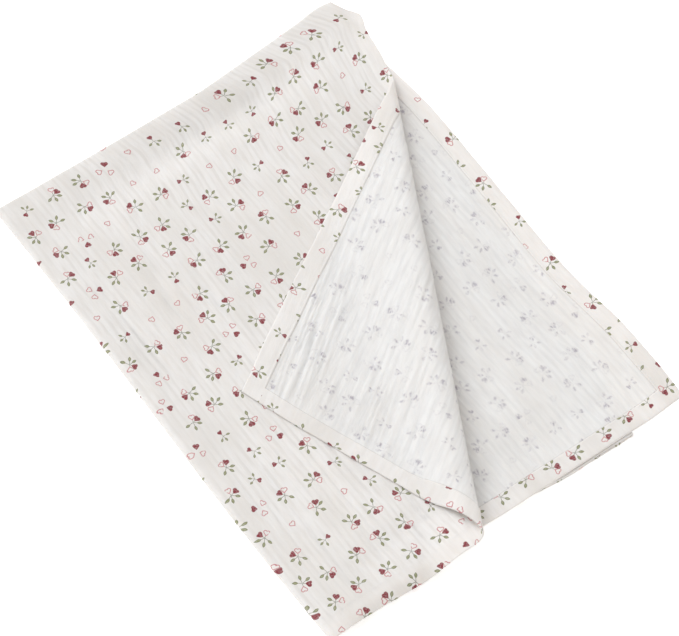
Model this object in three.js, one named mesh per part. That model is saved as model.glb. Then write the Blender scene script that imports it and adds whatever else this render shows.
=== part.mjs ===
// A swaddle blanket of double gauze, folded in quarters, with the top corner turned back.
//
// The blanket is one sheet. Every point of it has a place on the flat cloth (s across, t along,
// both from the middle) and a height above the cloth's middle surface. That point is carried
// through the folds in the order in which they are made: the short fold, the long fold, the
// drawn-out edges, and last the roll that turns the top corner back. X runs across the folded
// blanket, from the long fold to the open side; Y runs along it, from the open end to the short
// fold; Z is up. Lengths are in millimetres.
import * as THREE from 'three';

// The cloth.
const clothWidth = 760;
const clothLength = 1020;
const clothThickness = 1.2;
const hemWidth = 17; // the edge is turned twice to the inner face
const hemTurns = 0.6; // thickness that the turned cloth adds on the inner face
const hemStep = 2.5; // width of the slope at the turned edge
const layerGap = 0.8; // air between layers

// The folded blanket, before its edges are drawn to their uneven outline.
const foldedWidth = 380;
const foldedLength = 510;

// Centre-to-centre distance of two layers: the inner faces carry hems, the outer faces don't.
const innerPitch = clothThickness + 2 * hemTurns + layerGap;
const outerPitch = clothThickness + layerGap;

// The long fold and the short fold, as they lie: x at each y, and y at each x.
const longFold = [
  { y: -262, x: -198 },
  { y: -150, x: -198 },
  { y: -66, x: -196 },
  { y: 20, x: -193 },
  { y: 130, x: -190 },
  { y: 250, x: -189 },
];
const shortFold = [
  { x: -190, y: 249 },
  { x: -140, y: 248 },
  { x: 0, y: 246 },
  { x: 30, y: 246 },
  { x: 70, y: 249 },
  { x: 105, y: 252 },
  { x: 150, y: 256 },
  { x: 175, y: 259 },
  { x: 190, y: 258 },
];
// The open side: x of the top layer's edge and of the layers under it, at each y.
const openSide = [
  { y: -255, top: 185, under: 187 },
  { y: -210, top: 185, under: 188 },
  { y: -170, top: 185, under: 188 },
  { y: -90, top: 185, under: 184 },
  { y: 0, top: 185, under: 188 },
  { y: 60, top: 184, under: 191 },
  { y: 130, top: 184, under: 192 },
  { y: 160, top: 185, under: 190 },
  { y: 178, top: 190, under: 187 },
  { y: 195, top: 194, under: 184 },
  { y: 214, top: 199, under: 182 },
  { y: 230, top: 204, under: 183 },
  { y: 241, top: 197, under: 186 },
  { y: 255, top: 189, under: 189 },
];
// The open end: y of the top layer, of the second one, and of the two lowest, at each x.
const openEnd = [
  { x: -190, top: -269, second: -260, lowest: -264 },
  { x: -150, top: -268, second: -259, lowest: -261 },
  { x: -110, top: -270, second: -258, lowest: -260 },
  { x: -75, top: -273, second: -258, lowest: -260 },
  { x: -50, top: -275, second: -258, lowest: -258 },
  { x: -10, top: -272, second: -260, lowest: -256 },
  { x: 50, top: -268, second: -261, lowest: -259 },
  { x: 100, top: -268, second: -262, lowest: -263 },
  { x: 150, top: -268, second: -263, lowest: -264 },
  { x: 190, top: -268, second: -260, lowest: -265 },
];
const lowestInset = 60; // how far the corner of the two lowest layers lies inside the one above

// The roll: the crest runs straight from the open side to the open end, and its radius grows
// along it.
const crestStart = new THREE.Vector2(184, 157);
const crestEnd = new THREE.Vector2(-40, -266);
const rollRadius = [
  { along: -20, radius: 4.5 },
  { along: 40, radius: 6.5 },
  { along: 120, radius: 9.5 },
  { along: 220, radius: 11.5 },
  { along: 350, radius: 12.5 },
  { along: 490, radius: 12 },
];
// The turned corner lies a little stretched near the roll and drawn in at its tip.
const flapDepth = 172;
const flapStretch = 1.025;
const flapDrawnIn = 0.055;
const flapSlide = 0.352; // how far the corner is pulled towards the start of the crest, per depth
const flapRest = clothThickness + layerGap; // height of the flap on the layer under it
const flapFall = 70; // distance over which the flap comes down from the roll

// Where the top layer reaches past the layers under it, its edge droops, away from the roll.
const droopSlope = 0.6;
const droopReach = 6;
const droopFade = 50;

// Soft swells and hollows in the stack: each is an oval that fades out.
const swells = [
  { x: -186, y: 0, turn: 90, along: 210, across: 14, rise: 0.9 }, // the long fold stands up
  { x: -10, y: 240, turn: 2, along: 170, across: 12, rise: 0.8 }, // so does the short one
  { x: -20, y: 203, turn: 3, along: 150, across: 15, rise: -1 },
  { x: -150, y: 190, turn: 40, along: 60, across: 24, rise: -0.8 },
  { x: -70, y: 120, turn: 62, along: 110, across: 26, rise: 1.6 },
  { x: -140, y: -60, turn: 80, along: 110, across: 22, rise: -0.9 },
  { x: -95, y: -190, turn: 96, along: 60, across: 20, rise: 1.4 },
  { x: 120, y: -60, turn: 70, along: 90, across: 30, rise: 1.8 },
  { x: 70, y: -190, turn: 35, along: 70, across: 24, rise: 1.3 },
  { x: 190, y: -262, turn: 0, along: 40, across: 42, rise: -6.8 }, // the lone corner droops
];

// How finely the surface is divided.
const cellsAcross = 11;
const cellsAlong = 19;
const shortFoldSteps = 6;
const longFoldSteps = 8;
const foldMargin = 12;
const rollSteps = 8;
const fallLines = [14, 36, 70];
const lineSlack = 3; // a corner this near a dividing line counts as on it
const turnSlack = 0.12; // the same on the roll, in radians

const halfWidth = clothWidth / 2;
const halfLength = clothLength / 2;
const quarterTurn = Math.PI / 2;

// Radii of the folds' middle surfaces, and half the cloth that each takes up.
const shortRadius = innerPitch / 2;
const longRadius = (innerPitch + outerPitch) / 2;
const shortArc = shortRadius * quarterTurn;
const longArc = longRadius * quarterTurn;
const stackMiddle = longRadius + innerPitch / 2 + clothThickness / 2;
const topLayer = stackMiddle + longRadius + innerPitch / 2;
const lowLayer = clothThickness / 2;

const mix = THREE.MathUtils.lerp;
const clamp = THREE.MathUtils.clamp;
const smooth = (value) => THREE.MathUtils.smoothstep(value, 0, 1);

/** A smooth curve through one column of a table, held level past the table's ends. */
function curveThrough(table, at, column) {
  const places = table.map((row) => row[at]);
  const curve = new THREE.CubicInterpolant(places, table.map((row) => row[column]), 1);
  const last = places[places.length - 1];
  return (place) => curve.evaluate(clamp(place, places[0], last))[0];
}

const longFoldX = curveThrough(longFold, 'y', 'x');
const shortFoldY = curveThrough(shortFold, 'x', 'y');
const openSideTop = curveThrough(openSide, 'y', 'top');
const openSideUnder = curveThrough(openSide, 'y', 'under');
const openEndTop = curveThrough(openEnd, 'x', 'top');
const openEndSecond = curveThrough(openEnd, 'x', 'second');
const openEndLowest = curveThrough(openEnd, 'x', 'lowest');
const radiusAlong = curveThrough(rollRadius, 'along', 'radius');

const crestWay = crestEnd.clone().sub(crestStart).normalize();
const crestOut = new THREE.Vector2(-crestWay.y, crestWay.x); // towards the turned corner

/** One fold: a half turn round the middle, then straight. Gives the run past it and the height. */
function bend(place, radius, arc, above) {
  const side = place < 0 ? -1 : 1;
  const reach = Math.abs(place);
  if (reach >= arc) return { run: reach - arc, lift: side * (radius + above), bulge: 0 };
  const angle = place / radius;
  const out = radius + above;
  return { run: 0, lift: out * Math.sin(angle), bulge: out * Math.cos(angle) };
}

/** How far the top layer droops at this place. */
function droopAt(x, y) {
  const over = Math.max(x - openSideUnder(y), openEndSecond(x) - y, 0);
  const held = Math.min(-fromCrest(x, y).past, x - longFoldX(y));
  return ((droopSlope * over * over) / (over + droopReach)) * smooth(held / droopFade);
}

/** The place in the folded stack, with its edges drawn to their outline and no roll yet. */
function stacked(s, t, above) {
  const short = bend(t, shortRadius, shortArc, above);
  const shortCentre = foldedLength / 2 - shortRadius - clothThickness / 2;
  const lengthRatio = (shortCentre + foldedLength / 2) / (halfLength - shortArc);
  const y = shortCentre - short.run * lengthRatio + short.bulge;

  const long = bend(s, longRadius, longArc, short.lift);
  const longCentre = -foldedWidth / 2 + longRadius + innerPitch / 2 + clothThickness / 2;
  const widthRatio = (foldedWidth / 2 - longCentre) / (halfWidth - longArc);
  const x = longCentre + long.run * widthRatio - long.bulge;

  // Round each fold, one layer's outline passes into the next one's.
  const across = clamp(x / foldedWidth + 0.5, 0, 1);
  const up = clamp(y / foldedLength + 0.5, 0, 1);
  const upper = smooth(s / longArc / 2 + 0.5);
  const top = upper * smooth(t / shortArc / 2 + 0.5);
  const side = mix(openSideUnder(y), openSideTop(y), top);
  const inset = lowestInset * across ** 2 * (1 - up) ** 1.5 * (1 - upper);
  const under = mix(openEndLowest(x), openEndSecond(x), upper);
  const end = mix(under, openEndTop(x), top);
  const drawn = { x: mix(longFoldX(y), side, across) - inset, y: mix(end, shortFoldY(x), up) };
  return { ...drawn, z: stackMiddle + long.lift - top * droopAt(drawn.x, drawn.y) };
}

/** Where a place in the top layer lies along the crest, and how far past the roll's start. */
function fromCrest(x, y) {
  const way = new THREE.Vector2(x, y).sub(crestStart);
  const along = way.dot(crestWay);
  const radius = radiusAlong(along);
  return { along, radius, past: way.dot(crestOut) + radius };
}

/** Carries a point of the top layer round the roll and back over the blanket. */
function rolled(point, above) {
  const { along, radius, past } = fromCrest(point.x, point.y);
  if (past <= 0) return point;
  const turned = past / radius;
  let out = -radius + (radius - above) * Math.sin(Math.min(turned, Math.PI));
  let lift = radius - (radius - above) * Math.cos(Math.min(turned, Math.PI));
  const cloth = past - Math.PI * radius;
  if (cloth > 0) {
    const free = cloth * (flapStretch - flapDrawnIn * (cloth / flapDepth) ** 2);
    out = -radius - free;
    lift = flapRest + (2 * radius - flapRest) * (1 - smooth(free / flapFall)) - above;
  }
  const back = Math.max(0, past - quarterTurn * radius);
  const slid = along - (flapSlide * back * back) / (back + radius);
  return {
    x: crestStart.x + slid * crestWay.x + out * crestOut.x,
    y: crestStart.y + slid * crestWay.y + out * crestOut.y,
    z: topLayer + lift,
  };
}

/** How far the top of the stack is raised or lowered at this place. */
function swellAt(x, y) {
  let rise = 0;
  for (const swell of swells) {
    const way = new THREE.Vector2(x - swell.x, y - swell.y);
    way.rotateAround(new THREE.Vector2(), -THREE.MathUtils.degToRad(swell.turn));
    rise += swell.rise * Math.exp(-((way.x / swell.along) ** 2) - (way.y / swell.across) ** 2);
  }
  return rise;
}

/** A point of the cloth in the folded blanket. above is its height over the middle surface. */
function placed(s, t, above) {
  const isTop = s > 0 && t > 0;
  const carry = (height) => {
    const point = stacked(s, t, height);
    return isTop ? rolled(point, height) : point;
  };
  const point = carry(above);
  const middle = carry(0);
  const share = clamp((middle.z - lowLayer) / (topLayer - lowLayer), 0, 1);
  return new THREE.Vector3(point.x, point.y, point.z + share * swellAt(middle.x, middle.y));
}

/** Half the thickness on the inner face, which the hems make thicker. */
function innerHalf(s, t) {
  const fromEdge = Math.min(halfWidth - Math.abs(s), halfLength - Math.abs(t));
  const hem = 1 - smooth((fromEdge - hemWidth) / hemStep);
  return clothThickness / 2 + hemTurns * hem;
}

/** The dividing lines from one edge of the cloth, over a fold, to the other edge. */
function dividingLines(half, arc, cells, foldSteps) {
  const flat = half - hemWidth - hemStep;
  const side = [half, half - hemWidth / 2, half - hemWidth];
  for (let i = 0; i < cells; i += 1) side.push(mix(flat, arc + foldMargin, i / cells));
  side.push(arc + foldMargin);
  const fold = [];
  for (let i = 0; i <= foldSteps; i += 1) fold.push(arc * ((2 * i) / foldSteps - 1));
  return [...side.map((place) => -place), ...fold, ...side.reverse()];
}

/** Splits each cell of the top layer where measure(point) passes the value at. */
function splitCells(cells, measure, at, slack) {
  const sideOf = (point) => {
    const gap = measure(point) - at;
    return Math.abs(gap) < slack ? 0 : Math.sign(gap);
  };
  const crossing = (a, b) => {
    const [from, to] = a.s < b.s || (a.s === b.s && a.t < b.t) ? [a, b] : [b, a];
    const share = (at - measure(from)) / (measure(to) - measure(from));
    return { s: mix(from.s, to.s, share), t: mix(from.t, to.t, share) };
  };
  return cells.flatMap((cell) => {
    const sides = cell.map(sideOf);
    if (!sides.includes(1) || !sides.includes(-1)) return [cell];
    const before = [];
    const past = [];
    cell.forEach((point, i) => {
      if (sides[i] <= 0) before.push(point);
      if (sides[i] >= 0) past.push(point);
      const next = (i + 1) % cell.length;
      if (sides[i] * sides[next] < 0) {
        const cross = crossing(point, cell[next]);
        before.push(cross);
        past.push(cross);
      }
    });
    return [before, past];
  });
}

/** The flat cloth as cells: a grid, with the top layer also divided along the roll. */
function clothCells() {
  const across = dividingLines(halfWidth, longArc, cellsAcross, longFoldSteps);
  const along = dividingLines(halfLength, shortArc, cellsAlong, shortFoldSteps);
  let top = [];
  const others = [];
  for (let i = 0; i + 1 < across.length; i += 1) {
    for (let j = 0; j + 1 < along.length; j += 1) {
      const cell = [
        { s: across[i], t: along[j] },
        { s: across[i + 1], t: along[j] },
        { s: across[i + 1], t: along[j + 1] },
        { s: across[i], t: along[j + 1] },
      ];
      (across[i] >= longArc && along[j] >= shortArc ? top : others).push(cell);
    }
  }
  const crestAt = ({ s, t }) => {
    const point = stacked(s, t, 0);
    return fromCrest(point.x, point.y);
  };
  const turned = (point) => {
    const { past, radius } = crestAt(point);
    return past / radius;
  };
  const free = (point) => {
    const { past, radius } = crestAt(point);
    return past - Math.PI * radius;
  };
  const step = Math.PI / rollSteps;
  for (let i = 0; i <= rollSteps; i += 1) top = splitCells(top, turned, i * step, turnSlack);
  for (const line of fallLines) top = splitCells(top, free, line, lineSlack);
  return [...others, ...top];
}

/** The closed sheet: the outer face, the inner face, and the rim that joins them. */
function sheetGeometry() {
  const points = [];
  const found = new Map();
  const numberOf = ({ s, t }) => {
    const key = `${s.toFixed(5)} ${t.toFixed(5)}`;
    if (!found.has(key)) {
      found.set(key, found.size);
      points.push(placed(s, t, clothThickness / 2), placed(s, t, -innerHalf(s, t)));
    }
    return found.get(key);
  };

  const outer = (number) => 2 * number;
  const inner = (number) => 2 * number + 1;
  const faces = [];
  const rim = new Map();
  for (const cell of clothCells()) {
    const corners = cell.map(numberOf);
    for (let i = 1; i + 1 < corners.length; i += 1) {
      const [a, b, c] = [corners[0], corners[i], corners[i + 1]];
      faces.push(outer(a), outer(c), outer(b), inner(a), inner(b), inner(c));
    }
    corners.forEach((from, i) => {
      const to = corners[(i + 1) % corners.length];
      if (!rim.delete(`${to} ${from}`)) rim.set(`${from} ${to}`, [from, to]);
    });
  }
  for (const [from, to] of rim.values()) {
    faces.push(outer(from), outer(to), inner(from), inner(from), outer(to), inner(to));
  }

  const geometry = new THREE.BufferGeometry().setFromPoints(points);
  geometry.setIndex(faces);
  geometry.computeVertexNormals();
  return geometry;
}

/** A mesh whose box stands on the origin, centred over it. */
function standing(name, geometry, material) {
  const mesh = new THREE.Mesh(geometry, material);
  mesh.name = name;
  geometry.computeBoundingBox();
  const { min, max } = geometry.boundingBox;
  mesh.position.set(-(min.x + max.x) / 2, -(min.y + max.y) / 2, -min.z);
  return mesh;
}

const gauze = new THREE.MeshStandardMaterial({ color: 0xf4f1ec, roughness: 0.95, metalness: 0 });

const swaddle = new THREE.Group();
swaddle.add(standing('blanket', sheetGeometry(), gauze));

export default swaddle;
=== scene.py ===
import math

import bmesh
import bpy
import numpy as np
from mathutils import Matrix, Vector


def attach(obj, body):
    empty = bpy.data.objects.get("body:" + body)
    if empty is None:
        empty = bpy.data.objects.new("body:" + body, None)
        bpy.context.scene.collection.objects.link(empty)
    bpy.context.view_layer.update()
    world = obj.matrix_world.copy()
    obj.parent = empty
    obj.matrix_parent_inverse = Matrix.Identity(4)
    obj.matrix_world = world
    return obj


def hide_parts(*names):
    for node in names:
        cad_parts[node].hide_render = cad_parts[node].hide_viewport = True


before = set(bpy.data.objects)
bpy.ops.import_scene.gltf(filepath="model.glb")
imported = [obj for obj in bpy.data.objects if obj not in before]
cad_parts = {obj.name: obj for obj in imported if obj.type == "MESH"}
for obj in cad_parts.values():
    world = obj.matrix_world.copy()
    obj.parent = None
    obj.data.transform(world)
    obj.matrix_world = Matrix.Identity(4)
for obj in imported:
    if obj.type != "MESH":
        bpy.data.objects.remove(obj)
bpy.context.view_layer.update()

# A folded swaddle blanket of printed double gauze. Lengths in the tables are in millimetres.
# The cloth is one sheet: s runs across it and t along it, both from its middle, and a height
# above its middle surface points out of its printed face.
mm = 0.001
print("frame loaded")


def smooth(value):
    value = np.clip(value, 0, 1)
    return value * value * (3 - 2 * value)


def mix(low, high, share):
    return low + (high - low) * share


# A smooth curve through a table's places, level at both ends.
def curveThrough(table, at, column):
    places = np.array(table[at], float)
    values = np.array(table[column], float)
    steps = np.diff(places)
    slopes = np.diff(values) / steps
    ends = np.zeros(1)
    inner = (slopes[1:] * steps[:-1] + slopes[:-1] * steps[1:]) / (places[2:] - places[:-2])
    tangents = np.concatenate([ends, inner, ends])

    def curve(place):
        place = np.clip(place, places[0], places[-1])
        i = np.clip(np.searchsorted(places, place) - 1, 0, len(steps) - 1)
        step = steps[i]
        x = (place - places[i]) / step
        return (
            (2 * x**3 - 3 * x**2 + 1) * values[i]
            + (x**3 - 2 * x**2 + x) * step * tangents[i]
            + (3 * x**2 - 2 * x**3) * values[i + 1]
            + (x**3 - x**2) * step * tangents[i + 1]
        )

    return curve


# The cloth and how it is folded. The folds follow the frame's solid.
cloth = {
    "width": 760,
    "length": 1020,
    "thickness": 1.2,
    "hemWidth": 17,
    "hemTurns": 0.6,
    "layerGap": 0.8,
    "foldedWidth": 380,
    "foldedLength": 510,
    "lowestInset": 60,
    "insetTaper": 1.5,
    "crestStart": (184, 157),
    "crestEnd": (-40, -266),
    "flapTaken": 1.025,
    "flapDrawn": 0.055,
    "flapDepth": 172,
    "flapSlide": 0.352,
    "flapRest": 1.7,
    "leadReach": 42,
    "droopSlope": 0.6,
    "droopReach": 6,
    "droopFade": 50,
    "inFrame": (-0.6934, 8.0973),
}

# Where the two folds and the open edges of the layers lie.
longFold = {
    "y": [-262, -150, -66, 20, 130, 250],
    "x": [-198, -198, -196, -193, -190, -189],
}
shortFold = {
    "x": [-190, -140, 0, 30, 70, 105, 150, 175, 190],
    "y": [249, 248, 246, 246, 249, 252, 256, 259, 258],
}
openSide = {
    "y": [-255, -210, -170, -90, 0, 60, 130, 160, 178, 195, 214, 230, 241, 255],
    "top": [185, 185, 185, 185, 185, 184, 184, 185, 190, 194, 199, 204, 197, 189],
    "under": [187, 188, 188, 184, 188, 191, 192, 190, 187, 184, 182, 183, 186, 189],
}
openEnd = {
    "x": [-190, -150, -110, -75, -50, -10, 50, 100, 150, 190],
    "top": [-269, -268, -270, -273, -275, -272, -268, -268, -268, -268],
    "second": [-260, -259, -258, -258, -258, -260, -261, -262, -263, -260],
    "lowest": [-264, -261, -260, -260, -258, -256, -259, -263, -264, -265],
}

# The roll, at distances along its crest. At its open end it is pressed flat, and the layer that
# carries it rises by the lead to meet it.
rollRadius = {
    "along": [-20, 40, 120, 220, 350, 430, 490],
    "radius": [4.5, 6.5, 9.5, 11.5, 12.5, 12.5, 12],
    "height": [1, 1, 1, 1, 0.94, 0.86, 0.8],
    "fall": [70, 70, 70, 68, 52, 34, 24],
    "lead": [0, 0, 0, 1, 4.5, 9, 12],
}

# Broad swells of the whole stack.
swells = {
    "x": [-186, -10, -20, -150, -70, -140, -95, 120, 70, 190],
    "y": [0, 240, 203, 190, 120, -60, -190, -60, -190, -262],
    "turn": [90, 2, 3, 40, 62, 80, 96, 70, 35, 0],
    "along": [210, 170, 150, 60, 110, 110, 60, 90, 70, 40],
    "across": [14, 12, 15, 24, 26, 22, 20, 30, 24, 42],
    "rise": [0.9, 0.8, -1, -0.8, 1.6, -0.9, 1.4, 1.8, 1.3, -6.8],
}

# Soft creases from being folded and handled, each a long trough or ridge on the table.
creases = {
    "x": [
        -160, -20, 60, -150, -112, -120, 40, -84, 20, 96, -60,
        -110, 148, 98, 120, 60, 150, 199, 182, -57, 30,
    ],
    "y": [
        60, 209, 211, -120, 150, 80, -222, 20, -160, -60, -95,
        -225, -60, -150, -225, -205, -140, 222, 216, -232, 60,
    ],
    "turn": [
        88, 0, 2, 92, 70, 74, 3, 80, 62, 66, 58,
        4, 80, 60, 20, 8, 66, 92, 92, 88, 70,
    ],
    "along": [
        130, 110, 80, 100, 40, 46, 90, 60, 50, 80, 36,
        60, 60, 50, 36, 60, 40, 34, 34, 34, 120,
    ],
    "across": [
        16, 18, 17, 17, 7, 5, 15, 6, 8, 7, 6,
        12, 8, 7, 7, 6, 6, 9, 4, 6, 60,
    ],
    "rise": [
        -2.5, -2.7, -2.2, -2.3, 1, -0.8, -2.1, 0.8, 0.8, 0.9, -1,
        -1.3, 0.8, -0.9, -0.9, -0.8, 0.7, -5.6, 0.8, -0.9, 1.2,
    ],
}

# One line of white lockstitch holds the hem, on both faces.
seam = {
    "inset": 15,
    "stitch": 2.7,
    "pitch": 3.4,
    "thread": 0.36,
    "sunk": 0.12,
    "taper": 0.85,
    "sides": 5,
    "rings": 4,
}

halfWidth = cloth["width"] / 2
halfLength = cloth["length"] / 2
innerPitch = cloth["thickness"] + 2 * cloth["hemTurns"] + cloth["layerGap"]
outerPitch = cloth["thickness"] + cloth["layerGap"]
shortRadius = innerPitch / 2
longRadius = (innerPitch + outerPitch) / 2
shortArc = shortRadius * math.pi / 2
longArc = longRadius * math.pi / 2
lowLayer = cloth["thickness"] / 2
stackMiddle = longRadius + innerPitch / 2 + lowLayer
topLayer = stackMiddle + longRadius + innerPitch / 2

longFoldX = curveThrough(longFold, "y", "x")
shortFoldY = curveThrough(shortFold, "x", "y")
openSideTop = curveThrough(openSide, "y", "top")
openSideUnder = curveThrough(openSide, "y", "under")
openEndTop = curveThrough(openEnd, "x", "top")
openEndSecond = curveThrough(openEnd, "x", "second")
openEndLowest = curveThrough(openEnd, "x", "lowest")
radiusAlong = curveThrough(rollRadius, "along", "radius")
heightAlong = curveThrough(rollRadius, "along", "height")
fallAlong = curveThrough(rollRadius, "along", "fall")
leadAlong = curveThrough(rollRadius, "along", "lead")

crestStart = np.array(cloth["crestStart"], float)
crestWay = np.array(cloth["crestEnd"], float) - crestStart
crestWay /= np.linalg.norm(crestWay)
crestOut = np.array([-crestWay[1], crestWay[0]])


def bend(place, radius, above):
    angle = np.clip(place / radius, -math.pi / 2, math.pi / 2)
    run = np.maximum(np.abs(place) - radius * math.pi / 2, 0)
    return run, (radius + above) * np.sin(angle), (radius + above) * np.cos(angle)


# Past the edges of the layers below it, the top layer hangs down a little.
def droop(x, y):
    over = np.maximum(np.maximum(x - openSideUnder(y), openEndSecond(x) - y), 0)
    _, _, past = fromCrest(x, y)
    held = np.minimum(-past, x - longFoldX(y))
    fallen = cloth["droopSlope"] * over**2 / (over + cloth["droopReach"])
    return fallen * smooth(held / cloth["droopFade"])


# The short fold, the long fold and the drawn-out edges.
def stacked(s, t, above):
    run, lift, bulge = bend(t, shortRadius, above)
    centre = cloth["foldedLength"] / 2 - shortRadius - lowLayer
    y = centre - run * (centre + cloth["foldedLength"] / 2) / (halfLength - shortArc) + bulge

    run, lift, bulge = bend(s, longRadius, lift)
    centre = -cloth["foldedWidth"] / 2 + longRadius + innerPitch / 2 + lowLayer
    x = centre + run * (cloth["foldedWidth"] / 2 - centre) / (halfWidth - longArc) - bulge

    across = np.clip(x / cloth["foldedWidth"] + 0.5, 0, 1)
    up = np.clip(y / cloth["foldedLength"] + 0.5, 0, 1)
    upper = smooth(s / longArc / 2 + 0.5)
    top = upper * smooth(t / shortArc / 2 + 0.5)
    side = mix(openSideUnder(y), openSideTop(y), top)
    inset = cloth["lowestInset"] * across**2 * (1 - up) ** cloth["insetTaper"] * (1 - upper)
    end = mix(mix(openEndLowest(x), openEndSecond(x), upper), openEndTop(x), top)
    x, y = mix(longFoldX(y), side, across) - inset, mix(end, shortFoldY(x), up)
    return x, y, stackMiddle + lift - top * droop(x, y)


# The place along the roll's crest, the roll's radius there, and how far past its start it is.
def fromCrest(x, y):
    along = (x - crestStart[0]) * crestWay[0] + (y - crestStart[1]) * crestWay[1]
    out = (x - crestStart[0]) * crestOut[0] + (y - crestStart[1]) * crestOut[1]
    radius = radiusAlong(along)
    return along, radius, out + radius


# Carries the top layer up and over the crest and down to the flap that lies on it.
def rolled(x, y, z, above):
    along, radius, past = fromCrest(x, y)
    angle = np.clip(past / radius, 0, math.pi)
    free = np.maximum(past - math.pi * radius, 0)
    free = free * (cloth["flapTaken"] - cloth["flapDrawn"] * (free / cloth["flapDepth"]) ** 2)
    lead = leadAlong(along)
    rest, high = cloth["flapRest"], radius * heightAlong(along) - lead / 2
    under = lead * smooth(1 - free / cloth["leadReach"])
    fall = under + rest + (2 * high - rest) * (1 - smooth(free / fallAlong(along))) - above
    out = np.where(free > 0, -radius - free, -radius + (radius - above) * np.sin(angle))
    lift = np.where(free > 0, fall, lead + high - (high - above) * np.cos(angle))
    back = np.maximum(past - math.pi / 2 * radius, 0)
    slid = along - cloth["flapSlide"] * back**2 / (back + radius)
    on = past > 0
    rolledX = crestStart[0] + slid * crestWay[0] + out * crestOut[0]
    rolledY = crestStart[1] + slid * crestWay[1] + out * crestOut[1]
    z = z + lead * smooth(past / cloth["leadReach"] + 1)
    return np.where(on, rolledX, x), np.where(on, rolledY, y), np.where(on, topLayer + lift, z)


# The height of a table's swells or creases, each a long soft mound turned from the x axis.
def mounds(table, x, y):
    rise = np.zeros_like(x)
    for row in zip(*table.values()):
        place = dict(zip(table, row))
        turn = math.radians(place["turn"])
        wayX, wayY = x - place["x"], y - place["y"]
        along = (wayX * math.cos(turn) + wayY * math.sin(turn)) / place["along"]
        across = (wayY * math.cos(turn) - wayX * math.sin(turn)) / place["across"]
        rise += place["rise"] * np.exp(-(along**2) - across**2)
    return rise


# Where a point of the cloth ends up when it is folded, with its middle near the frame's.
def placed(s, t, above):
    isTop = (s > 0) & (t > 0)

    def carry(height):
        point = stacked(s, t, height)
        over = rolled(*point, height)
        return [np.where(isTop, a, b) for a, b in zip(over, point)]

    x, y, z = carry(above)
    middle = carry(np.zeros_like(above))
    share = np.clip((middle[2] - lowLayer) / (topLayer - lowLayer), 0, 1)
    bumps = mounds(swells, middle[0], middle[1]) + mounds(creases, middle[0], middle[1])
    z = z + share * bumps
    return np.stack([x, y, z], axis=-1)


# The fine shape of the gauze. Its two thin layers are woven together at points, so it dries into
# narrow ribs along t, each some centimetres long and none quite straight.
gauzeShape = {
    "seed": 7,
    "ribSpacing": 2.2,
    "ribLength": 70,
    "ribHeight": 0.36,
    "ribSharpness": 2.2,
    "ribWander": 3,
    "wanderPitch": (34, 90),
    "flapSkew": 0.22,
    "fineSpacing": 1.3,
    "fineLength": 30,
    "fineHeight": 0.14,
    "steadyRibs": 0.75,
    "changingRibs": 0.45,
    "changePitch": (30, 60),
    "frontRibs": 0.78,
    "flapExtra": 0.72,
    "flapFade": 20,
    "hemRibs": 0.2,
    "hemFade": 8,
    "foldFade": 8,
    "puckerSpacing": 2.6,
    "puckerHeight": 0.22,
    "gatherInset": 2,
    "gatherReach": 7,
    "seamDepth": 0.3,
    "seamReach": 1.3,
    "edgeWander": 0.7,
    "edgePitch": (23, 23),
    "edgeReach": 40,
    "edgeRound": 1.4,
    "hemSlope": 0.7,
    "hemSlopeInset": 0.5,
    "turnedEdge": 0.3,
    "turnedInset": 0.9,
    "turnedReach": 0.8,
}

# How finely the cloth is divided. Only what the roll and the flap show gets the small cells.
grid = {
    "foldCells": 4,
    "cell": 12,
    "ribCell": 1.15,
    "lengthCell": 4,
    "hemMargin": 1,
    "hemLines": [-0.4, 0, 0.5, 1.1],
    "rimLines": [1.4, 0.7, 0.25, 0.05, 0],
    "outerPastCrest": 16,
    "innerBeforeCrest": 10,
    "secondBeforeCrest": 25,
}


# Smooth seeded noise of about -1 to 1, from a lattice of the two pitches.
def softNoise(seed, sPitch, tPitch):
    size = (int(cloth["width"] / sPitch) + 5, int(cloth["length"] / tPitch) + 5)
    lattice = np.random.default_rng(seed).uniform(-1, 1, size)

    def weights(x):
        before, after = (1 - x) ** 3, x**3
        low, high = 3 * after - 6 * x**2 + 4, -3 * after + 3 * x**2 + 3 * x + 1
        return before / 6, low / 6, high / 6, after / 6

    def field(s, t):
        a, b = (s + halfWidth) / sPitch, (t + halfLength) / tPitch
        i, j = np.floor(a).astype(int), np.floor(b).astype(int)
        total = 0
        for m, wa in enumerate(weights(a - i)):
            for n, wb in enumerate(weights(b - j)):
                total = total + wa * wb * lattice[(i + m) % size[0], (j + n) % size[1]]
        return 2 * total

    return field


firstSeed = gauzeShape["seed"]
wander = softNoise(firstSeed, *gauzeShape["wanderPitch"])
ribs = softNoise(firstSeed + 1, gauzeShape["ribSpacing"], gauzeShape["ribLength"])
fineRibs = softNoise(firstSeed + 2, gauzeShape["fineSpacing"], gauzeShape["fineLength"])
strengths = softNoise(firstSeed + 3, *gauzeShape["changePitch"])
puckers = softNoise(firstSeed + 4, gauzeShape["puckerSpacing"], gauzeShape["puckerSpacing"])
edgeNoise = softNoise(firstSeed + 5, *gauzeShape["edgePitch"])


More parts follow.
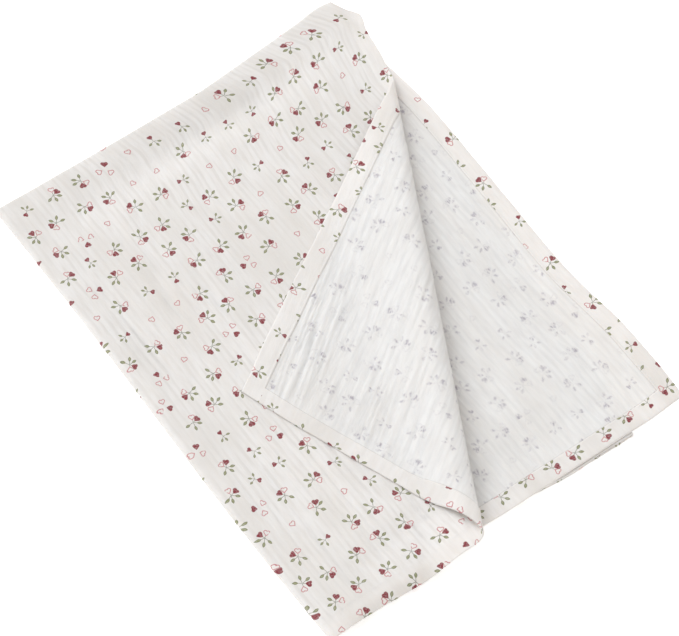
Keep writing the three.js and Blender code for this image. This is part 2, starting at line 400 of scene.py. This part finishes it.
# How far the ribs and puckers stand up, and how deep the groove of the seam is.
def relief(s, t):
    x, y, _ = stacked(s, t, np.zeros_like(s))
    _, radius, past = fromCrest(x, y)
    isTop = (s > 0) & (t > 0)
    back = isTop * np.maximum(past - math.pi / 2 * radius, 0)
    place = s + gauzeShape["ribWander"] * wander(s, t) + gauzeShape["flapSkew"] * back
    ridge = 1 - gauzeShape["ribSharpness"] * np.abs(ribs(place, t))
    height = gauzeShape["ribHeight"] * ridge + gauzeShape["fineHeight"] * fineRibs(place, t)
    strength = gauzeShape["steadyRibs"] + gauzeShape["changingRibs"] * strengths(s, t)
    onFlap = smooth(back / gauzeShape["flapFade"])
    strength = strength * (gauzeShape["frontRibs"] + gauzeShape["flapExtra"] * onFlap)
    toSide, toEnd = halfWidth - np.abs(s), halfLength - np.abs(t)
    toEdge = np.minimum(toSide, toEnd)
    fromSeam = toEdge - seam["inset"]
    hem = mix(gauzeShape["hemRibs"], 1, smooth(fromSeam / gauzeShape["hemFade"]))
    seamLine = np.exp(-((fromSeam / gauzeShape["seamReach"]) ** 2))
    gathered = np.exp(-(((fromSeam + gauzeShape["gatherInset"]) / gauzeShape["gatherReach"]) ** 2))
    pucker = gauzeShape["puckerHeight"] * gathered * puckers(s, t)
    fade = gauzeShape["foldFade"]
    free = (s > 0) * smooth(np.abs(s) / fade) * smooth(np.abs(t) / fade)
    return (height * strength * hem + pucker) * free, gauzeShape["seamDepth"] * seamLine * free


# The edges of the cloth are cut and hemmed by hand, so they wander.
def uneven(s, t):
    reach = gauzeShape["edgeReach"]
    nearSide = smooth((np.abs(s) - halfWidth + reach) / reach)
    nearEnd = smooth((np.abs(t) - halfLength + reach) / reach)
    shift = gauzeShape["edgeWander"] * edgeNoise(s, t)
    return s + shift * nearSide, t + shift * nearEnd


# The cloth above and below its middle surface, with the hem's two turns on the inner face.
def thickness(s, t):
    toEdge = np.minimum(halfWidth - np.abs(s), halfLength - np.abs(t))
    inside = np.clip(toEdge / gauzeShape["edgeRound"], 0, 1)
    rounding = np.sqrt(np.clip(1 - (1 - inside) ** 2, 0, 1))
    beyond = toEdge - cloth["hemWidth"]
    hem = 1 - smooth((beyond + gauzeShape["hemSlopeInset"]) / gauzeShape["hemSlope"])
    inTurn = (beyond + gauzeShape["turnedInset"]) / gauzeShape["turnedReach"]
    turnedEdge = gauzeShape["turnedEdge"] * np.exp(-(inTurn**2))
    half = cloth["thickness"] / 2
    return half * rounding, (half + (cloth["hemTurns"] + turnedEdge) * hem) * rounding


def aboveMiddle(s, t, side):
    outerHalf, innerHalf = thickness(s, t)
    height, sunk = relief(s, t)
    return height + outerHalf - sunk if side == "outer" else height - innerHalf + sunk


def onFace(s, t, side):
    return placed(*uneven(s, t), aboveMiddle(s, t, side))


def dividingLines(half, arc):
    hem = cloth["hemWidth"]
    fold = list(arc * np.linspace(0, 1, grid["foldCells"] + 1))
    flatEnd = half - hem - grid["hemMargin"]
    count = round((flatEnd - arc) / grid["cell"])
    flat = list(np.linspace(arc, flatEnd, count + 1))[1:]
    edge = [half - hem + line for line in grid["hemLines"]]
    rim = [half - line for line in grid["rimLines"]]
    side = fold[1:] + flat + edge + rim
    return np.array([-x for x in reversed(side)] + [0] + side)


# The lines with steps between them, and the places of the old lines among the new ones.
def subdivided(lines, step):
    fine = [lines[0]]
    starts = []
    for low, high in zip(lines, lines[1:]):
        count = max(1, round((high - low) / step))
        starts.append(len(fine) - 1)
        fine.extend(low + (high - low) * np.arange(1, count + 1) / count)
    return np.array(fine), np.array(starts + [len(fine) - 1])


def clothMesh(name):
    across, along = dividingLines(halfWidth, longArc), dividingLines(halfLength, shortArc)
    fineS, startS = subdivided(across, grid["ribCell"])
    fineT, startT = subdivided(along, grid["lengthCell"])
    rows, columns = len(fineT), len(fineS)

    midS, midT = np.meshgrid((across[1:] + across[:-1]) / 2, (along[1:] + along[:-1]) / 2, indexing="ij")
    x, y, _ = stacked(midS, midT, np.zeros_like(midS))
    _, radius, past = fromCrest(x, y)
    isTop, isSecond = (midS > 0) & (midT > 0), (midS > 0) & (midT < 0)
    fine = {
        "outer": isTop & (past < math.pi / 2 * radius + grid["outerPastCrest"]),
        "inner": (isTop & (past > -grid["innerBeforeCrest"]))
        | (isSecond & (past > -grid["secondBeforeCrest"])),
    }

    gridS, gridT = np.meshgrid(fineS, fineT, indexing="ij")
    gridS, gridT = gridS.ravel(), gridT.ravel()
    points = np.concatenate([onFace(gridS, gridT, side) for side in ("outer", "inner")])
    count = rows * columns
    onRim = np.zeros((columns, rows), bool)
    onRim[[0, -1], :] = True
    onRim[:, [0, -1]] = True
    number = {"outer": np.arange(count), "inner": np.arange(count) + count}
    number["inner"][onRim.ravel()] -= count

    hem = cloth["hemWidth"]
    faces, printed, places = [], [], []

    def add(corners, side):
        ids = [int(number[side][p * rows + q]) for p, q in corners]
        spots = [(fineS[p], fineT[q]) for p, q in corners]
        middle = np.mean(spots, axis=0)
        toSide, toEnd = halfWidth - abs(middle[0]), halfLength - abs(middle[1])
        inTurn = side == "inner" and min(toSide, toEnd) < hem
        if inTurn:
            if toSide < hem:
                spots = [(math.copysign(2 * halfWidth, a) - a, b) for a, b in spots]
            else:
                spots = [(a, math.copysign(2 * halfLength, b) - b) for a, b in spots]
        if side == "outer":
            ids, spots = ids[::-1], spots[::-1]
        faces.append(ids)
        places.extend(spots)
        printed.append(0 if side == "outer" or inTurn else 1)

    for i in range(len(across) - 1):
        for j in range(len(along) - 1):
            p0, p1, q0, q1 = startS[i], startS[i + 1], startT[j], startT[j + 1]
            for side in ("outer", "inner"):
                own = fine[side]
                if own[i, j]:
                    for p in range(p0, p1):
                        for q in range(q0, q1):
                            add([(p, q), (p + 1, q), (p + 1, q + 1), (p, q + 1)], side)
                    continue
                # A coarse cell takes the points of a finer neighbour along its side.
                other = fine["inner" if side == "outer" else "outer"][i, j]

                def isFine(a, b):
                    inside = 0 <= a < own.shape[0] and 0 <= b < own.shape[1]
                    return own[a, b] if inside else other

                corners = [(p, q0) for p in (range(p0, p1) if isFine(i, j - 1) else [p0])]
                corners += [(p1, q) for q in (range(q0, q1) if isFine(i + 1, j) else [q0])]
                corners += [(p, q1) for p in (range(p1, p0, -1) if isFine(i, j + 1) else [p1])]
                corners += [(p0, q) for q in (range(q1, q0, -1) if isFine(i - 1, j) else [q1])]
                add(corners, side)

    used, compact = np.unique(np.concatenate(faces), return_inverse=True)
    shift = np.array([*cloth["inFrame"], 0])
    sizes = [len(face) for face in faces]
    loops = np.split(compact, np.cumsum(sizes)[:-1])
    mesh = bpy.data.meshes.new(name)
    mesh.from_pydata(((points[used] + shift) * mm).tolist(), [], [loop.tolist() for loop in loops])
    mesh.polygons.foreach_set("material_index", printed)
    mesh.polygons.foreach_set("use_smooth", [True] * len(faces))
    uv = mesh.uv_layers.new(name="flatCloth")
    flat = (np.array(places) + [halfWidth, halfLength]) * mm
    uv.data.foreach_set("uv", flat.ravel())
    mesh.validate()
    mesh.update()
    return mesh


def linear(hexColour):
    channels = [int(hexColour[i : i + 2], 16) / 255 for i in (1, 3, 5)]
    return (*[c / 12.92 if c <= 0.04045 else ((c + 0.055) / 1.055) ** 2.4 for c in channels], 1)


# A value that a shader works out at each point. Sums and products of such values become nodes.
class Field:
    def __init__(self, socket):
        self.socket = socket

    def __add__(self, other):
        return worked("ADD", self, other)

    def __sub__(self, other):
        return worked("SUBTRACT", self, other)

    def __rsub__(self, other):
        return worked("SUBTRACT", other, self)

    def __mul__(self, other):
        return worked("MULTIPLY", self, other)

    def __truediv__(self, other):
        return worked("DIVIDE", self, other)

    def __mod__(self, other):
        return worked("FLOORED_MODULO", self, other)

    def __gt__(self, other):
        return worked("GREATER_THAN", self, other)

    def __lt__(self, other):
        return worked("LESS_THAN", self, other)


def connect(node, inputs):
    for key, value in inputs.items():
        value = value.socket if isinstance(value, Field) else value
        if isinstance(value, bpy.types.NodeSocket):
            node.id_data.links.new(value, node.inputs[key])
        else:
            node.inputs[key].default_value = value


def addNode(tree, kind, settings, inputs):
    node = tree.nodes.new(kind)
    for key, value in settings.items():
        setattr(node, key, value)
    connect(node, inputs)
    return node


def worked(operation, *values, clamped=False):
    tree = next(value.socket.id_data for value in values if isinstance(value, Field))
    settings = {"operation": operation, "use_clamp": clamped}
    return Field(addNode(tree, "ShaderNodeMath", settings, dict(enumerate(values))).outputs[0])


def length(x, y):
    return worked("SQRT", x * x + y * y)


def turned(x, y, angle):
    cosine, sine = worked("COSINE", angle), worked("SINE", angle)
    return x * cosine + y * sine, y * cosine - x * sine


def randoms(tree, x, y, seed):
    place = addNode(tree, "ShaderNodeCombineXYZ", {}, {"X": x, "Y": y, "Z": seed}).outputs[0]
    settings = {"noise_dimensions": "3D"}
    noise = addNode(tree, "ShaderNodeTexWhiteNoise", settings, {"Vector": place})
    parts = addNode(tree, "ShaderNodeSeparateColor", {}, {"Color": noise.outputs["Color"]})
    return [Field(part) for part in parts.outputs]


# The print: posies, trios of hearts, sprigs and single hearts, each somewhere in its own cell.
motifs = {
    "column": 26,
    "row": 25.8,
    "jitter": 5.5,
    "heart": 5,
    "heartTip": 2.1,
    "outline": 0.38,
    "leafMiddle": 5.7,
    "leafLength": 2.5,
    "leafWidth": 1.25,
    "leafSwing": 0.34,
    "leafSlide": 1.1,
    "leafRim": 0.25,
    "stemWidth": 0.2,
    "stemLength": 4,
    "sprigSize": 0.78,
    "posyShare": 0.61,
    "trioShare": 0.08,
    "sprigShare": 0.22,
    "seed": 3,
}


# The distance to the rim of a heart about one unit high with its tip at 0, negative inside it.
def heartDistance(x, y):
    x = worked("ABSOLUTE", x)
    total = x + y
    lobe = length(x - 0.25, y - 0.75) - math.sqrt(0.125)
    onEdge = worked("MAXIMUM", total, 0) * 0.5
    side = worked("MINIMUM", length(x, y - 1), length(x - onEdge, y - onEdge))
    side = side * worked("SIGN", x - y)
    return side + (total > 1) * (lobe - side)


# How much of the cloth each part of the print covers at each point, from 0 to 1.
def printCover(tree, across, along, soft):
    def cover(distance):
        return worked("SUBTRACT", 0.5, distance / soft, clamped=True)

    row = worked("FLOOR", along / motifs["row"])
    x = across / motifs["column"] + (row % 2) * 0.5
    column = worked("FLOOR", x)
    x = (x - column - 0.5) * motifs["column"]
    y = (along / motifs["row"] - row - 0.5) * motifs["row"]
    aside, ahead, spin = randoms(tree, column, row, motifs["seed"])
    kind, mirrored, _ = randoms(tree, column, row, motifs["seed"] + 1)
    x = x - (aside - 0.5) * motifs["jitter"]
    y = y - (ahead - 0.5) * motifs["jitter"]

    shares = [motifs[key] for key in ("posyShare", "trioShare", "sprigShare")]
    posy = kind < shares[0]
    trio = (kind < shares[0] + shares[1]) - posy
    lone = kind > sum(shares)
    sprig = 1 - posy - trio - lone
    size = 1 - sprig * (1 - motifs["sprigSize"])

    x, y = turned(x / size, y / size, spin * 2 * math.pi)
    y = y * ((mirrored > 0.5) * 2 - 1)
    # Six places lie round the middle of a motif, and a heart or a leaf grows in some of them.
    sixth = math.pi / 3
    sector = worked("ROUND", worked("ARCTAN2", y, x) / sixth) % 6
    lean, reach, _ = randoms(tree, column * 7 + sector, row, motifs["seed"] + 2)
    out, beside = turned(x, y, sector * sixth + (lean - 0.5) * motifs["leafSwing"])
    out = out - (reach - 0.5) * motifs["leafSlide"]

    solid = (sector < 0.5) * (1 - lone)
    second, fourth = (sector > 0.5) * (sector < 1.5), worked("COMPARE", sector, 4, 0.5)
    third = worked("COMPARE", sector, 2, 0.5)
    outlined = posy * second + trio * (third + fourth) + lone
    leafy = posy * (sector > 2.5) + sprig * (sector > 1.5) * (sector < 4.5)

    heartX = beside + lone * (x - beside)
    heartY = out - motifs["heartTip"]
    heartY = heartY + lone * (y + motifs["heart"] / 2 - heartY)
    heart = heartDistance(heartX / motifs["heart"], heartY / motifs["heart"]) * motifs["heart"]
    line, rim = motifs["outline"], motifs["leafRim"]
    beside = worked("ABSOLUTE", beside)
    place = (out - motifs["leafMiddle"]) / motifs["leafLength"]
    leaf = beside - (1 - place * place) * motifs["leafWidth"]
    stemEnd = leafy * (motifs["stemLength"] - motifs["heartTip"]) + motifs["heartTip"]
    stem = worked("MAXIMUM", beside - motifs["stemWidth"], out - stemEnd)
    stemmed = worked("MINIMUM", leafy + (solid + outlined) * (posy + sprig), 1)
    return {
        "stem": cover(worked("MAXIMUM", stem, 0 - out)) * stemmed,
        "leaf": cover(leaf) * leafy,
        "leafEdge": cover(worked("ABSOLUTE", leaf + rim) - rim) * leafy,
        "outline": cover(worked("ABSOLUTE", heart + line) - line) * outlined,
        "heart": cover(heart) * solid,
    }


# Double gauze: unbleached-white cotton, two thin layers woven together, so it is matt, soft and
# slightly see-through. The print is on the outer layer, and from the inner face it shows only as
# grey shadows. A pitch is the size of a pattern across and along the ribs, in millimetres, and a
# contrast is what its noise is multiplied by, and what is added then.
gauze = {
    "noiseRoughness": 0.55,
    "printedColour": "#F1EEEC",
    "printedShade": "#EBE7E4",
    # The rib shades are painted shade for the hollows between the ribs.
    "printedRibShade": "#DFDBD7",
    "innerColour": "#F1F0EF",
    "innerShade": "#E9E7E6",
    "innerRibShade": "#DADADA",
    # Painted shade for broad, long patches.
    "broadShade": "#E5E1DD",
    "heartColour": "#8A3740",
    "outlineColour": "#C88589",
    "leafColour": "#9A9C79",
    "leafEdgeColour": "#7C8163",
    "stemColour": "#6A6E5B",
    "ghostColour": "#B4AFB8",
    # Painted shade for the hem's shadow beside its inner edge.
    "hemShadeColour": "#A9A198",
    "patchPitch": (5, 24),
    "patchContrast": (2.2, -0.75),
    "ribPitch": 5.8,
    "ribDrift": 1.5,
    "driftPitch": (50, 170),
    "ribWave": 0.25,
    "ribBreakPitch": (6, 30),
    "ribContrast": (3, -1.5),
    "ribHemContrast": (0.3, 0.3),
    "ribsInHem": 0.25,
    # How much painted rib shade each face gets.
    "printedRibs": 0.55,
    "innerRibs": 0.35,
    # The size, contrast and strength on each face of the painted broad shade.
    "broadPitch": (42, 105),
    "broadContrast": (3, -1.3),
    "printedBroad": 1,
    "innerBroad": 0.5,
    "printSoft": 0.3,
    "printWear": 0.5,
    "wearContrast": (1.6, -0.65),
    "ghostSoft": 1.9,
    "ghostMarks": {"leaf": 0.8, "outline": 0.4, "stem": 0.3},
    "ghostBreakPitch": (1.6, 4),
    "ghostContrast": (4, -1.6),
    "ghostBreak": 0.8,
    "ghostStrength": 0.95,
    # Width and strength of the painted hem shade.
    "hemShadeWidth": 1.2,
    "hemShadeStrength": 0.4,
    "crinklePitch": (1.6, 13),
    "printedCrinkle": 0.16,
    "innerCrinkle": 0.272,
    "grainPitch": (1.7, 1.3),
    "grainDepth": 0.07,
    "weavePitch": 0.9,
    "weaveDepth": 0.035,
    "roughness": 0.93,
    "ior": 1.47,
    "sheen": 0.12,
    "subsurface": 0.3,
    "lightReach": 0.0025,
    "lightColour": (1, 0.9, 0.8),
}


def stretchedNoise(tree, across, along, sPitch, tPitch, detail):
    place = {"X": across / sPitch, "Y": along / tPitch, "Z": 0}
    place = addNode(tree, "ShaderNodeCombineXYZ", {}, place).outputs[0]
    inputs = {"Vector": place, "Scale": 1, "Detail": detail, "Roughness": gauze["noiseRoughness"]}
    return Field(addNode(tree, "ShaderNodeTexNoise", {"noise_dimensions": "2D"}, inputs).outputs[0])


# The places of a colour's inputs and output on Blender's mix node.
mixShare, mixUnder, mixOver, mixResult = 0, 6, 7, 2


def sharpened(noise, gain, shift):
    return worked("MULTIPLY_ADD", noise, gain, shift, clamped=True)


def gauzeMaterial(name, side):
    material = bpy.data.materials.new(name)
    material.use_nodes = True
    tree = material.node_tree
    flat = addNode(tree, "ShaderNodeUVMap", {"uv_map": "flatCloth"}, {}).outputs[0]
    parts = addNode(tree, "ShaderNodeSeparateXYZ", {}, {"Vector": flat})
    across, along = Field(parts.outputs[0]) / mm, Field(parts.outputs[1]) / mm
    toSide = halfWidth - worked("ABSOLUTE", across - halfWidth)
    toEnd = halfLength - worked("ABSOLUTE", along - halfLength)
    beyondHem = worked("MINIMUM", toSide, toEnd) - cloth["hemWidth"]

    def noise(kind, detail=2):
        return stretchedNoise(tree, across, along, *gauze[kind + "Pitch"], detail)

    def shaded(colour, share, shade):
        inputs = {mixShare: share, mixUnder: colour, mixOver: linear(gauze[shade])}
        return addNode(tree, "ShaderNodeMix", {"data_type": "RGBA"}, inputs).outputs[mixResult]

    crinkle, grain = noise("crinkle"), noise("grain")
    patches = sharpened(noise("patch"), *gauze["patchContrast"])
    colour = shaded(linear(gauze[side + "Colour"]), patches, side + "Shade")

    # Painted shade between the ribs: where the two layers lie close together, the colour is darkened
    # along wavy lines, so that the ribs show as shaded hollows.
    drift = noise("drift", 1) * gauze["ribDrift"]
    wave = worked("SINE", (across / gauze["ribPitch"] + drift) * (2 * math.pi))
    paintedRibShade = sharpened(wave * gauze["ribWave"] + noise("ribBreak", 1), *gauze["ribContrast"])
    inCloth = sharpened(beyondHem, *gauze["ribHemContrast"])
    paintedRibShade = paintedRibShade * (inCloth * (1 - gauze["ribsInHem"]) + gauze["ribsInHem"]) * gauze[side + "Ribs"]
    colour = shaded(colour, paintedRibShade, side + "RibShade")

    # Painted shade in broad, long patches at random, for the soft shade of the cloth's broad
    # undulations.
    broad = sharpened(noise("broad"), *gauze["broadContrast"]) * gauze[side + "Broad"]
    colour = shaded(colour, broad, "broadShade")

    if side == "printed":
        marks = printCover(tree, across, along, gauze["printSoft"])
        # Ink sits on the raised threads, so it is a little broken by the weave.
        worn = 1 - sharpened(grain, *gauze["wearContrast"]) * gauze["printWear"]
        for mark in ("stem", "leaf", "leafEdge", "outline", "heart"):
            colour = shaded(colour, marks[mark] * worn, mark + "Colour")
    else:
        marks = printCover(tree, across, along, gauze["ghostSoft"])
        total = marks["heart"]
        for mark, share in gauze["ghostMarks"].items():
            total = total + marks[mark] * share
        broken = sharpened(noise("ghostBreak"), *gauze["ghostContrast"])
        broken = broken * gauze["ghostBreak"] + (1 - gauze["ghostBreak"])
        ghost = worked("MINIMUM", total, 1) * broken * gauze["ghostStrength"]
        colour = shaded(colour, ghost, "ghostColour")
        # Painted shade: beside the turned hem's inner edge the colour is darkened, for the hem's shadow
        # on the cloth.
        beside = worked("SUBTRACT", 1, beyondHem / gauze["hemShadeWidth"], clamped=True)
        colour = shaded(colour, beside * gauze["hemShadeStrength"], "hemShadeColour")

    # Real gauze has about three threads to the millimetre; drawn coarser, so that they show.
    turn = 2 * math.pi / gauze["weavePitch"]
    weave = worked("SINE", across * turn) * worked("SINE", along * turn)
    height = crinkle * gauze[side + "Crinkle"] + grain * gauze["grainDepth"]
    height = height + weave * gauze["weaveDepth"]
    bump = addNode(tree, "ShaderNodeBump", {}, {"Strength": 1, "Distance": mm, "Height": height})

    look = {
        "Base Color": colour,
        "Normal": bump.outputs[0],
        "Roughness": gauze["roughness"],
        "IOR": gauze["ior"],
        "Sheen Weight": gauze["sheen"],
        "Subsurface Weight": gauze["subsurface"],
        "Subsurface Radius": gauze["lightColour"],
        "Subsurface Scale": gauze["lightReach"],
    }
    connect(tree.nodes["Principled BSDF"], look)
    return material


blanketCloth = bpy.data.objects.new("blanketCloth", clothMesh("blanketCloth"))
bpy.context.scene.collection.objects.link(blanketCloth)
blanketCloth.data.materials.append(gauzeMaterial("printedDoubleGauze", "printed"))
blanketCloth.data.materials.append(gauzeMaterial("doubleGauzeInnerFace", "inner"))
print("cloth made:", sum(len(face.vertices) - 2 for face in blanketCloth.data.polygons), "triangles")


# Spun polyester and cotton thread, bleached and twisted: a little smoother and brighter than the
# gauze, with the twist as fine ticks. The twist is about 0.4 mm long, and its scale is per metre.
thread = {
    "colour": "#FBFAF7",
    "shade": "#E2DFD9",
    "twistScale": 2600,
    "twistDepth": 0.1,
    "twistStrength": 0.6,
    "roughness": 0.6,
    "ior": 1.5,
    "sheen": 0.2,
}


def threadMaterial():
    material = bpy.data.materials.new("polyesterCottonThread")
    material.use_nodes = True
    tree = material.node_tree
    place = addNode(tree, "ShaderNodeTexCoord", {}, {}).outputs["Object"]
    inputs = {"Vector": place, "Scale": thread["twistScale"], "Detail": 1}
    twist = addNode(tree, "ShaderNodeTexNoise", {}, inputs).outputs[0]
    inputs = {mixShare: twist, mixUnder: linear(thread["colour"]), mixOver: linear(thread["shade"])}
    colour = addNode(tree, "ShaderNodeMix", {"data_type": "RGBA"}, inputs).outputs[mixResult]
    depth = thread["twistDepth"] * mm
    inputs = {"Strength": thread["twistStrength"], "Distance": depth, "Height": twist}
    look = {
        "Base Color": colour,
        "Normal": addNode(tree, "ShaderNodeBump", {}, inputs).outputs[0],
        "Roughness": thread["roughness"],
        "IOR": thread["ior"],
        "Sheen Weight": thread["sheen"],
    }
    connect(tree.nodes["Principled BSDF"], look)
    return material


def stitchMesh(name):
    sides, rings = seam["sides"], seam["rings"]
    along = np.linspace(-1, 1, rings)
    girth = np.sqrt(1 - seam["taper"] * along**2) * seam["thread"] / 2
    angle = np.arange(sides) * 2 * math.pi / sides
    lengthwise = np.repeat(along * seam["stitch"] / 2, sides)
    beside = np.outer(girth, np.cos(angle)).ravel()
    raised = (np.outer(girth, np.sin(angle)) + (girth - seam["sunk"])[:, None]).ravel()

    middles = []
    for half, other, isSide in ((halfWidth, halfLength, True), (halfLength, halfWidth, False)):
        reach = other - seam["inset"]
        count = round(2 * reach / seam["pitch"])
        for run in (np.arange(count) + 0.5) / count * 2 * reach - reach:
            for sign in (-1, 1):
                middles.append((sign * (half - seam["inset"]), run, isSide))
    offset = np.array([row[0] for row in middles])[:, None]
    run = np.array([row[1] for row in middles])[:, None]
    isSide = np.array([row[2] for row in middles])[:, None]

    points = []
    for side in ("outer", "inner"):
        ahead = run + lengthwise + np.zeros_like(offset)
        s, t = np.where(isSide, offset, ahead), np.where(isSide, ahead, offset)
        above = aboveMiddle(s, t, side) + (raised if side == "outer" else -raised)
        s, t = uneven(s, t)
        s, t = s + np.where(isSide, beside, 0), t + np.where(isSide, 0, beside)
        points.append(placed(s, t, above).reshape(-1, 3))
    points = np.concatenate(points)

    shift = np.array([*cloth["inFrame"], 0])
    mesh = bpy.data.meshes.new(name)
    faces = []
    for first in range(0, len(points), sides * rings):
        for ring in range(rings - 1):
            low = first + ring * sides
            for k in range(sides):
                after = (k + 1) % sides
                faces.append((low + k, low + after, low + sides + after, low + sides + k))
        faces.append(tuple(range(first, first + sides))[::-1])
        faces.append(tuple(range(first + (rings - 1) * sides, first + rings * sides)))
    mesh.from_pydata(((points + shift) * mm).tolist(), [], faces)
    shape = bmesh.new()
    shape.from_mesh(mesh)
    bmesh.ops.recalc_face_normals(shape, faces=shape.faces)
    shape.to_mesh(mesh)
    shape.free()
    mesh.polygons.foreach_set("use_smooth", [True] * len(faces))
    return mesh


hemStitching = bpy.data.objects.new("hemStitching", stitchMesh("hemStitching"))
bpy.context.scene.collection.objects.link(hemStitching)
hemStitching.data.materials.append(threadMaterial())
print("hem stitched:", sum(len(face.vertices) - 2 for face in hemStitching.data.polygons), "triangles")

# The floor and the light of a plain bright studio. The floor is matt white paper, lit a little
# from behind, so that it stays white beside the cloth.
stage = {
    "floorSize": 12,
    "floorDrop": 0.0004,
    "floorRoughness": 0.9,
    "floorColour": "#FFFFFF",
    "floorGlow": 0.4,
    "keyPower": 1.58,
    "keySpread": 50,
    "keyTurn": 107,
    "keyRise": 45,
    "keyColour": "#F8FBFF",
    "topPower": 0.36,
    "topSpread": 90,
    "skyColour": "#FFFBF5",
    "skyStrength": 0.575,
}


def makeFloor():
    half = stage["floorSize"] / 2
    corners = [(-half, -half, 0), (half, -half, 0), (half, half, 0), (-half, half, 0)]
    mesh = bpy.data.meshes.new("floor")
    mesh.from_pydata(corners, [], [(0, 1, 2, 3)])
    floor = bpy.data.objects.new("floor", mesh)
    floor.location.z = -stage["floorDrop"]
    bpy.context.scene.collection.objects.link(floor)
    material = bpy.data.materials.new("whitePaper")
    material.use_nodes = True
    look = {
        "Base Color": linear(stage["floorColour"]),
        "Roughness": stage["floorRoughness"],
        "Emission Color": (1, 1, 1, 1),
        "Emission Strength": stage["floorGlow"],
    }
    connect(material.node_tree.nodes["Principled BSDF"], look)
    mesh.materials.append(material)
    return floor


def addLight(name, turn, rise, power, spread):
    turn, rise = math.radians(turn), math.radians(rise)
    way = Vector((math.cos(turn) * math.cos(rise), math.sin(turn) * math.cos(rise), math.sin(rise)))
    light = bpy.data.lights.new(name, "SUN")
    light.energy = power
    light.angle = math.radians(spread)
    light.color = linear(stage["keyColour"])[:3]
    lamp = bpy.data.objects.new(name, light)
    lamp.location = way
    lamp.rotation_mode = "QUATERNION"
    lamp.rotation_quaternion = (-way).to_track_quat("-Z", "Y")
    bpy.context.scene.collection.objects.link(lamp)


def makeLights():
    addLight("softBox", stage["keyTurn"], stage["keyRise"], stage["keyPower"], stage["keySpread"])
    addLight("ceiling", 0, 90, stage["topPower"], stage["topSpread"])
    world = bpy.data.worlds.new("studio")
    world.use_nodes = True
    sky = {"Color": linear(stage["skyColour"]), "Strength": stage["skyStrength"]}
    connect(world.node_tree.nodes["Background"], sky)
    bpy.context.scene.world = world


camera = {
    "azimuth": -36.47,
    "elevation": 59,
    "distance": 2.72,
    "aim": (-0.0063, -0.0118, 0),
    "focal": 164.4,
}


def makeCamera():
    turn, rise = math.radians(camera["azimuth"]), math.radians(camera["elevation"])
    back = Vector((math.sin(turn) * math.cos(rise), -math.cos(turn) * math.cos(rise), math.sin(rise)))
    lens = bpy.data.cameras.new("camera")
    lens.sensor_width = 36
    lens.lens = camera["focal"]
    view = bpy.data.objects.new("camera", lens)
    view.location = Vector(camera["aim"]) + back * camera["distance"]
    view.rotation_mode = "QUATERNION"
    view.rotation_quaternion = (-back).to_track_quat("-Z", "Y")
    bpy.context.scene.collection.objects.link(view)
    bpy.context.scene.camera = view


floor = makeFloor()
makeLights()
makeCamera()
bpy.context.scene.view_settings.view_transform = "Standard"
print("stage made")

for piece in (blanketCloth, hemStitching):
    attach(piece, "root")
    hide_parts("blanket")
